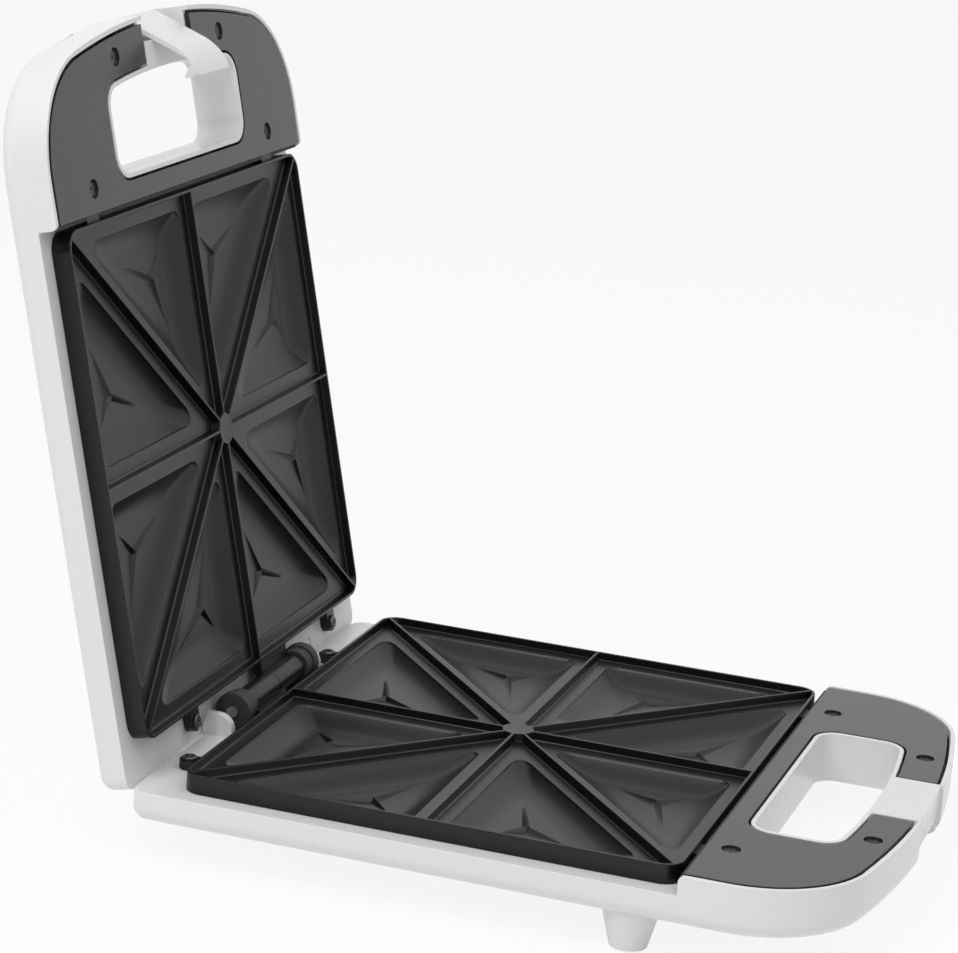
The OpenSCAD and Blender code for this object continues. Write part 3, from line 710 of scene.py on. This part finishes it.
    def sink(self, shape: Shape, face: Face, pocket: Pocket, start: float,
             steps: Profile) -> tuple[Face, list[Corner]]:
        """Lowers an outline of a pocket, step by step.

        Args:
            shape: the shape
            face: the outline
            pocket: the pocket
            start: how far the outline lies inside the pocket's own
            steps: how far inside and how low each step ends

        Returns:
            The last face, and the corners of all the steps.
        """
        across, down, made = start, 0.0, []
        for inset, drop in steps:
            share = (pocket.radius - inset) / (pocket.radius - across)
            face = lower_face(shape, face, pocket.centre, share, drop - down)
            across, down = inset, drop
            made += face.verts
        return face, made

    def sink_pocket(self, shape: Shape, face: Face, pocket: Pocket) -> None:
        """Lowers a pocket through its lip, wall and sweep to its floor and raises the star on it.

        Args:
            shape: the compartment
            face: the rounded outline, drawn out by the lip
            pocket: the pocket
        """
        lip, foot = self.pocket_lip, self.pocket_draft + self.pocket_sweep
        steps = [(across - lip, down) for across, down in rounding(lip)]
        steps.append((self.pocket_draft, self.pocket_wall))
        for step in range(1, self.sweep_steps + 1):
            along = step / self.sweep_steps
            fallen = 1.0 - (1.0 - along) ** self.sweep_power
            steps.append((self.pocket_draft + self.pocket_sweep * along,
                          self.pocket_wall + (self.pocket_depth - self.pocket_wall) * fallen))
        steps += [(foot + (pocket.radius - foot) * ring / self.floor_rings, self.pocket_depth)
                  for ring in range(1, self.floor_rings)]
        face, floor = self.sink(shape, face, pocket, -lip, steps)
        floor += bmesh.ops.poke(shape, faces=[face])["verts"]
        for vert in floor:
            vert.co.z += self.star(vert.co, pocket)

    def star(self, point: Vector, pocket: Pocket) -> float:
        """Gives the height of the three-armed ridge at a point of a pocket.

        Args:
            point: the point
            pocket: the pocket, whose corners the arms point to

        Returns:
            The height over the floor.
        """
        away = (point - pocket.centre).to_2d()
        height = 0.0
        for corner in pocket.corners:
            arm = (corner - pocket.centre).to_2d()
            along = max(away.dot(arm.normalized()), 0.0)
            beside = (away - arm.normalized() * along).length
            left = 1.0 - along / (arm.length * self.star_reach_share)
            if left > 0.0:
                width = self.star_width * (self.star_tip_share + (1.0 - self.star_tip_share) * left)
                height = max(height, self.star_height * left * (1.0 - beside / width))
        return height

    def crest_and_skirt(self, shape: Shape) -> list[Edge]:
        """Joins the compartments by their crests and adds the rim and the skirt.

        Args:
            shape: the eight compartments

        Returns:
            The inner edge of the skirt.
        """
        crests = [edge for edge in shape.edges if edge.is_boundary]
        width, height = self.width - 2.0 * self.crest_round, 0.0
        trim = self.width - self.depth
        border = open_face(shape, self.outline(shape, self.crest_round))
        fill(shape, crests + border)
        inner = self.width - 2.0 * self.cast
        steps = [(width + 2.0 * across, -down) for across, down in rounding(self.crest_round)]
        steps += [(self.width, -self.skirt), (inner, -self.skirt), (inner, -self.rib_height - self.cast)]
        for breadth, level in steps:
            made = bmesh.ops.extrude_edge_only(shape, edges=border)["geom"]
            border = [item for item in made if isinstance(item, Edge)]
            verts = [item for item in made if isinstance(item, Corner)]
            bmesh.ops.scale(shape, vec=(breadth / width, (breadth - trim) / (width - trim), 1.0), verts=verts)
            bmesh.ops.translate(shape, vec=(0.0, 0.0, level - height), verts=verts)
            width, height = breadth, level
        return border

    def underside(self, shape: Shape, border: list[Edge], pockets: list[Pocket]) -> None:
        """Closes the plate below, round the bulges of its pockets.

        Args:
            shape: the plate
            border: the inner edge of its skirt
            pockets: the pockets
        """
        bulges = []
        for pocket in pockets:
            level = [(corner.x, corner.y, -self.rib_height - self.cast) for corner in pocket.corners]
            face = self.round_corners(shape, lay_face(shape, level))
            scale_flat(shape, face, pocket.centre, 1.0 + self.cast / pocket.radius)
            bulges.append(face)
        fill(shape, border + [edge for face in bulges for edge in face.edges], -1.0)
        steps = [(self.pocket_sweep * step / self.bulge_steps - self.cast,
                  self.pocket_depth * math.sin(angle))
                 for step, angle in enumerate(quarter(self.bulge_steps), start=1)]
        for face, pocket in zip(bulges, pockets):
            self.sink(shape, face, pocket, -self.cast, steps)

    def tongue(self, shape: Shape, end: tuple, radius: float, thickness: float) -> None:
        """Adds a flat lug or tab with a round end that runs out from the skirt.

        Args:
            shape: the plate
            end: centre of its round end, on its upper face
            radius: half its width
            thickness: its thickness
        """
        x, y, top = end
        side = math.copysign(1.0, y)
        verts = bmesh.ops.create_circle(shape, cap_ends=True, segments=ROUND_STEPS, radius=radius,
                                        matrix=Matrix.Translation((x, y, top - thickness)))["verts"]
        rear = [vert for vert in verts if (vert.co.y - y) * side < MERGE_DISTANCE]
        root = side * (self.depth / 2.0 - self.crest)
        bmesh.ops.scale(shape, vec=(1.0, 0.0, 1.0), space=Matrix.Translation((0.0, -root, 0.0)), verts=rear)
        upper = thicken(shape, verts[0].link_faces[0], (0.0, 0.0, thickness))
        bevel(shape, list(upper.edges), self.crest_round, self.tongue_edge_steps)

    def knuckle(self, shape: Shape) -> None:
        """Spins the knuckle that turns on the hinge pin.

        Args:
            shape: the plate
        """
        start, end, slant = -self.knuckle_length, -self.knuckle_gap, self.crest_round
        outer, inner = self.knuckle_radius, self.pin_radius
        section = [(start, inner), (start, outer - slant), (start + slant, outer),
                   (end - slant, outer), (end, outer - slant), (end, inner)]
        verts = [shape.verts.new((x, HINGE_BACK, self.axis_height + radius)) for x, radius in section]
        edges = [shape.edges.new(ends) for ends in zip(verts, verts[1:] + verts[:1])]
        bmesh.ops.spin(shape, geom=verts + edges, cent=(start, HINGE_BACK, self.axis_height),
                       axis=(1.0, 0.0, 0.0), angle=2.0 * math.pi, steps=self.knuckle_steps, use_merge=True)

    def arm(self, shape: Shape) -> None:
        """Adds the arm that joins the knuckle to the skirt.

        Args:
            shape: the plate
        """
        foot = self.axis_height - self.knuckle_radius
        low = Vector((-self.knuckle_length, self.depth / 2.0 - self.crest, foot))
        high = Vector((-self.knuckle_gap, HINGE_BACK - self.pin_radius, foot + self.arm_thickness))
        verts = bmesh.ops.create_cube(shape, size=1.0)["verts"]
        bmesh.ops.scale(shape, vec=high - low, verts=verts)
        bmesh.ops.translate(shape, vec=(high + low) / 2.0, verts=verts)
        edges = {edge for vert in verts for edge in vert.link_edges}
        bevel(shape, list(edges), self.crest_round, self.arm_edge_steps)


@dataclass
class EdgeRounder:
    """Rounds the sharp edges of a solid, save those where a face would then cross itself."""

    solid: bpy.types.Object
    radius: float
    sharp_deg: float = 30.0
    merge: float = 2e-6
    flat_deg: float = 0.5
    segments: int = 2
    tries: int = 30
    near_share: float = 2.5
    short_share: float = 3.0
    least_corners: int = 5
    least_area: float = 1e-9
    area_share: float = 0.0005

    def __post_init__(self) -> None:
        """Copies the solid, with its flat faces merged and numbered."""
        self.source = bmesh.new()
        self.source.from_mesh(self.solid.data)
        bmesh.ops.remove_doubles(self.source, verts=self.source.verts, dist=self.merge)
        bmesh.ops.dissolve_limit(self.source, angle_limit=math.radians(self.flat_deg),
                                 verts=self.source.verts, edges=self.source.edges)
        label = self.source.faces.layers.int.new("source_face")
        for number, face in enumerate(self.source.faces):
            face[label] = number
        self.source.edges.index_update()
        self.source.faces.ensure_lookup_table()

    def rounded(self) -> Shape:
        """Rounds the edges, and takes some out again until no face crosses itself.

        Returns:
            The rounded shape.
        """
        limit = math.radians(self.sharp_deg)
        kept = {edge.index for edge in self.source.edges
                if edge.is_manifold and edge.calc_face_angle(0.0) > limit}
        shape = self.bevelled(kept)
        for _ in range(self.tries):
            dropped = self.at_fault(shape, kept)
            if not dropped:
                break
            kept -= dropped
            shape.free()
            shape = self.bevelled(kept)
        return shape

    def bevelled(self, kept: set[int]) -> Shape:
        """Copies the solid and rounds the edges with the given numbers.

        Args:
            kept: the edges' numbers

        Returns:
            The copy.
        """
        shape = self.source.copy()
        shape.edges.ensure_lookup_table()
        bevel(shape, [shape.edges[number] for number in kept], self.radius, self.segments)
        return shape

    def at_fault(self, shape: Shape, kept: set[int]) -> set[int]:
        """Finds the edges whose rounding made a face cross itself.

        Args:
            shape: the rounded copy
            kept: the numbers of the edges that are rounded in it

        Returns:
            The numbers of the edges to leave sharp.
        """
        label = shape.faces.layers.int["source_face"]
        dropped = set()
        for face in self.crossed(shape):
            origin = self.source.faces[face[label]]
            around = {edge for vert in origin.verts for edge in vert.link_edges if edge.index in kept}
            points = self.crossings(face)
            near = {edge.index for edge in around
                    if any(self.distance(edge, point) < self.near_share * self.radius for point in points)}
            short = {edge.index for edge in around if edge.calc_length() < self.short_share * self.radius}
            dropped |= near or short or {edge.index for edge in around}
        return dropped

    def crossed(self, shape: Shape) -> list[Face]:
        """Lists the faces whose triangles don't add up to their own area.

        Args:
            shape: the rounded copy

        Returns:
            The faces.
        """
        shape.faces.index_update()
        areas = {}
        for loops in shape.calc_loop_triangles():
            number = loops[0].face.index
            areas[number] = areas.get(number, 0.0) + area_tri(*[loop.vert.co for loop in loops])
        wrong = {face: abs(face.calc_area() - areas[face.index]) for face in shape.faces
                 if len(face.verts) >= self.least_corners}
        return [face for face, by in wrong.items()
                if by > self.least_area + self.area_share * face.calc_area()]

    def crossings(self, face: Face) -> list[Vector]:
        """Lists the points where a face's outline crosses itself.

        Args:
            face: the face

        Returns:
            The points.
        """
        across = face.normal.orthogonal().normalized()
        along = face.normal.cross(across)
        corners = [loop.vert.co for loop in face.loops]
        flat = [Vector((corner.dot(across), corner.dot(along))) for corner in corners]
        count = len(flat)
        points = []
        for i in range(count):
            for j in range(i + 2, count):
                ends = flat[i], flat[(i + 1) % count], flat[j], flat[(j + 1) % count]
                if (j + 1) % count == i or intersect_line_line_2d(*ends) is None:
                    continue
                first, second = ends[1] - ends[0], ends[3] - ends[2]
                share = (ends[2] - ends[0]).cross(second) / (first.cross(second) or 1.0)
                points.append(corners[i].lerp(corners[(i + 1) % count], share))
        return points

    def distance(self, edge: Edge, point: Vector) -> float:
        """Measures how far a point lies from an edge.

        Args:
            edge: the edge
            point: the point

        Returns:
            The distance.
        """
        start, end = (vert.co for vert in edge.verts)
        share = intersect_point_line(point, start, end)[1]
        return (start.lerp(end, min(max(share, 0.0), 1.0)) - point).length


@dataclass
class RoundedSolid:
    """A CAD solid that shows, copied with its edges rounded as a mould leaves them."""

    node: str
    name: str
    finish: Finish
    edge_radius: float = 0.0003
    shade_deg: float = 50.0

    def build(self) -> None:
        """Builds the copy."""
        bodies = frame["record"]["behaviour"]["bodies"]
        body = next(body for body, nodes in bodies.items() if self.node in nodes)
        rounder = EdgeRounder(frame["nodes"][self.node], self.edge_radius)
        shape = rounder.rounded()
        log.info("%s: %d faces cross themselves", self.name, len(rounder.crossed(shape)))
        finish_piece(shape, self.name, Matrix.Identity(4), body, self.finish, (self.node,),
                     self.shade_deg)


@dataclass
class GapShadeStrip:
    """A dark strip of painted shade over the seat's edge and the wall of the gap beside the plate, where the gap
    lies in shade.
    """

    half: str
    place: Matrix
    trim_edge: float = -0.1116
    wall: float = -0.11002
    face: float = -0.10972
    ledge: float = -0.00238
    top: float = -0.0020
    foot: float = -0.0109
    spans: tuple = ((-0.1308, -0.1013), (-0.088, 0.088), (0.1013, 0.1308))

    def build(self) -> None:
        """Builds the dark strip of painted shade, left open where the plate's tabs pass."""
        section = [(self.trim_edge, self.ledge), (self.wall, self.ledge), (self.wall, self.foot),
                   (self.face, self.foot), (self.face, self.top), (self.trim_edge, self.top)]
        shape = bmesh.new()
        for start, end in self.spans:
            face = lay_face(shape, [(start, y, z) for y, z in section])
            thicken(shape, face, (end - start, 0.0, 0.0))
        # the dark collar finish on this strip paints the shade that falls in the gap
        finish_piece(shape, f"painted_gap_shade_{self.half}", self.place, self.half, Finish.COLLAR)


@dataclass
class Screws:
    """A set of pan-head screws with cross recesses, whose heads lie in one plane of a half."""

    half: str
    place: Matrix
    kind: str
    at: tuple
    radius: float
    height: float
    shank: float = 0.0015
    length: float = 0.008
    side_share: float = 0.45
    top_share: float = 0.72
    dome_steps: int = 4
    recess_arms: int = 4
    recess_reach_share: float = 0.5
    recess_width_share: float = 0.11
    recess_depth_share: float = 0.8
    recess_draft: float = 0.6
    first_turn_deg: float = 25.0
    next_turn_deg: float = 35.0
    shade_deg: float = 35.0

    def build(self) -> None:
        """Builds the set."""
        shape = bmesh.new()
        for number, top in enumerate(self.at):
            angle = self.first_turn_deg + self.next_turn_deg * number
            turn = Matrix.Rotation(math.radians(angle), 4, "Z")
            self.screw(shape, Matrix.Translation(top) @ turn)
        finish_piece(shape, f"{self.kind}_{self.half}", self.place, self.half, Finish.SCREW,
                     (f"{self.half}_{self.kind}",), self.shade_deg)

    def screw(self, shape: Shape, place: Matrix) -> None:
        """Adds one screw.

        Args:
            shape: the set
            place: from the screw's frame, its head's foot at height zero, to the half's
        """
        verts = bmesh.ops.create_circle(shape, cap_ends=True, segments=ROUND_STEPS, radius=self.shank,
                                        matrix=place @ Matrix.Translation((0.0, 0.0, -self.length)))["verts"]
        face = thicken(shape, verts[0].link_faces[0], (0.0, 0.0, self.length - self.height))
        centre = place.translation
        face = lower_face(shape, face, centre, self.radius / self.shank, 0.0)
        face = lower_face(shape, face, centre, 1.0, -self.side_share * self.height)
        before, risen = 1.0, 0.0
        for angle in quarter(self.dome_steps):
            share = self.top_share + (1.0 - self.top_share) * math.cos(angle)
            rise = (1.0 - self.side_share) * self.height * math.sin(angle)
            face = lower_face(shape, face, centre, share / before, risen - rise)
            before, risen = share, rise
        self.recess(shape, face, place)

    def recess(self, shape: Shape, top: Face, place: Matrix) -> None:
        """Sinks the cross into a head.

        Args:
            shape: the set
            top: the head's flat top
            place: from the screw's frame to the half's
        """
        reach = self.radius * self.recess_reach_share
        width = self.radius * self.recess_width_share
        arm = [Vector((width, -width, 0.0)), Vector((reach, -width, 0.0)), Vector((reach, width, 0.0))]
        turns = [Matrix.Rotation(2.0 * math.pi * number / self.recess_arms, 4, "Z")
                 for number in range(self.recess_arms)]
        cross = lay_face(shape, [place @ (turn @ point) for turn in turns for point in arm])
        fill(shape, open_face(shape, top) + list(cross.edges))
        drop = self.height * self.recess_depth_share
        lower_face(shape, cross, place.translation, self.recess_draft, drop)


@dataclass
class InnerParts:
    """The CAD nodes whose shape is right as it is."""

    finishes: tuple = (
        (Finish.SHEATH, ("base_element", "lid_element")),
        (Finish.SHEET, ("base_element_clips", "lid_element_clips", "base_reflector", "lid_reflector")),
        (Finish.RESIN, ("thermostat",)),
        (Finish.CERAMIC, ("thermal_fuse", "terminal_block")),
        (Finish.RUBBER, ("cord_gland", "foot_pads")),
        (Finish.PIN, ("hinge_pin", "latch_pin")),
        (Finish.LAMP, ("neon_lamps",)),
        (Finish.RED_LENS, ("power_lamp_lens",)),
        (Finish.GREEN_LENS, ("ready_lamp_lens",)),
    )

    def build(self) -> None:
        """Dresses each node."""
        for finish, nodes in self.finishes:
            for node in nodes:
                dress(frame["nodes"][node], finish)
                log.info("%s dressed", node)


@dataclass(frozen=True)
class Lamp:
    """A soft square lamp that faces the toaster, with its power in watts."""

    name: str
    place: tuple
    size: float
    power: float

    def hang(self) -> None:
        """Hangs the lamp."""
        light = bpy.data.lights.new(self.name, "AREA")
        light.size = self.size
        light.energy = self.power
        lamp = bpy.data.objects.new(self.name, light)
        lamp.location = self.place
        lamp.rotation_euler = (-Vector(self.place)).to_track_quat("-Z", "Y").to_euler()
        bpy.context.scene.collection.objects.link(lamp)


@dataclass
class Studio:
    """Floor, dark card, sky, lamps and the camera at the photograph's viewing angle."""

    camera_place: tuple = (-1.3103, -0.39636, 0.5212)
    azimuth_deg: float = -72.49
    elevation_deg: float = 15.03
    roll_deg: float = 4.28
    focal_px: float = 3256.9
    floor_size: float = 60.0
    floor_colour: tuple = (0.92, 0.92, 0.92, 1.0)
    floor_roughness: float = 0.9
    floor_glow_share: float = 0.88
    card_size: float = 3.6
    card_place: tuple = (-2.6, 0.35, 0.9)
    card_colour: tuple = (0.01, 0.01, 0.01, 1.0)
    sky_light: float = 0.43
    lamps: tuple = (Lamp("key", (-1.3, 0.5, 1.9), 1.2, 22.0), Lamp("top", (-0.3, -1.1, 2.1), 1.6, 7.0))

    def build(self) -> None:
        """Builds the studio."""
        self.floor()
        self.dark_card()
        self.world()
        for lamp in self.lamps:
            lamp.hang()
        self.camera()

    def sheet(self, nodes: Nodes, size: float, place: Matrix) -> bpy.types.Object:
        """Lays a flat square that isn't part of the toaster.

        Args:
            nodes: the node tree of its material, whose name it takes
            size: length of its side
            place: from its own frame, where it lies level, to the toaster's

        Returns:
            The square.
        """
        shape = bmesh.new()
        bmesh.ops.create_grid(shape, x_segments=1, y_segments=1, size=size / 2)
        shape.transform(place)
        sheet = add_object(shape, nodes.owner.name)
        sheet.data.materials.append(nodes.owner)
        return sheet

    def floor(self) -> None:
        """Lays the floor, almost white where it is seen, with a faint shadow left on it."""
        nodes = Nodes(bpy.data.materials.new("floor"))
        nodes.surface(Base_Color=self.floor_colour, Roughness=self.floor_roughness, Specular_IOR_Level=0.0)
        glow = nodes.add("ShaderNodeEmission", Strength=1.0)
        share = nodes.ramp(nodes.seen(), 0.0, self.floor_glow_share)
        mix = nodes.add("ShaderNodeMixShader")
        nodes.link(share, mix.inputs["Fac"])
        nodes.link(nodes.shader.outputs["BSDF"], mix.inputs[1])
        nodes.link(glow.outputs["Emission"], mix.inputs[2])
        nodes.link(mix.outputs["Shader"], nodes.tree.nodes["Material Output"].inputs["Surface"])
        self.sheet(nodes, self.floor_size, Matrix.Identity(4))

    def dark_card(self) -> None:
        """Stands a dark card behind the camera's place, which only reflections show."""
        nodes = Nodes(bpy.data.materials.new("dark_card"))
        nodes.surface(Base_Color=self.card_colour, Specular_IOR_Level=0.0)
        turn = Vector(self.card_place).to_track_quat("-Z", "Y").to_matrix().to_4x4()
        card = self.sheet(nodes, self.card_size, Matrix.Translation(self.card_place) @ turn)
        card.visible_camera = False
        card.visible_diffuse = False
        card.visible_shadow = False

    def world(self) -> None:
        """Sets the sky: white to the camera and to glossy rays, softer as light."""
        nodes = Nodes(bpy.data.worlds.new("studio"))
        nodes.surface(Color=WHITE, Strength=nodes.ramp(nodes.seen(), self.sky_light, 1.0))
        bpy.context.scene.world = nodes.owner

    def camera(self) -> None:
        """Sets the camera."""
        data = bpy.data.cameras.new("camera")
        data.sensor_width = SENSOR_WIDTH_MM
        data.lens = self.focal_px / IMAGE_WIDTH_PX * SENSOR_WIDTH_MM
        camera = bpy.data.objects.new("camera", data)
        azimuth, elevation = math.radians(self.azimuth_deg), math.radians(self.elevation_deg)
        back = Vector((math.sin(azimuth) * math.cos(elevation),
                       -math.cos(azimuth) * math.cos(elevation),
                       math.sin(elevation)))
        right = (-back).cross(Vector((0.0, 0.0, 1.0))).normalized()
        turn = Matrix((right, back.cross(right), back)).transposed().to_4x4()
        roll = Matrix.Rotation(math.radians(self.roll_deg), 4, "Z")
        camera.matrix_world = Matrix.Translation(self.camera_place) @ turn @ roll
        bpy.context.scene.collection.objects.link(camera)
        bpy.context.scene.camera = camera


def main() -> None:
    """Builds the toaster and its studio."""
    logging.basicConfig(level=logging.INFO, format="%(message)s")
    bpy.context.scene.view_settings.view_transform = "Standard"
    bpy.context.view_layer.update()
    InnerParts().build()
    sides = halves()
    for half, place, axis_height in sides:
        CookingPlate(half, place, axis_height).build()
    for solid in (RoundedSolid("base_shell", "housing_base", Finish.HOUSING),
                  RoundedSolid("lid_shell", "housing_lid", Finish.HOUSING),
                  RoundedSolid("base_trim", "grip_trim_base", Finish.TRIM),
                  RoundedSolid("lid_trim", "grip_trim_lid", Finish.TRIM),
                  RoundedSolid("latch_clip", "clip", Finish.HOUSING),
                  RoundedSolid("hinge_ears", "ears", Finish.COLLAR, edge_radius=0.0004),
                  RoundedSolid("hinge_collars", "collars", Finish.COLLAR, edge_radius=0.0005)):
        solid.build()
    for half, place, _ in sides:
        # a dark strip of painted shade in the gap beside each plate
        GapShadeStrip(half, place).build()
        for screws in SCREW_SETS:
            Screws(half, place, **screws).build()
    Studio().build()


if __name__ == "__main__":
    main()
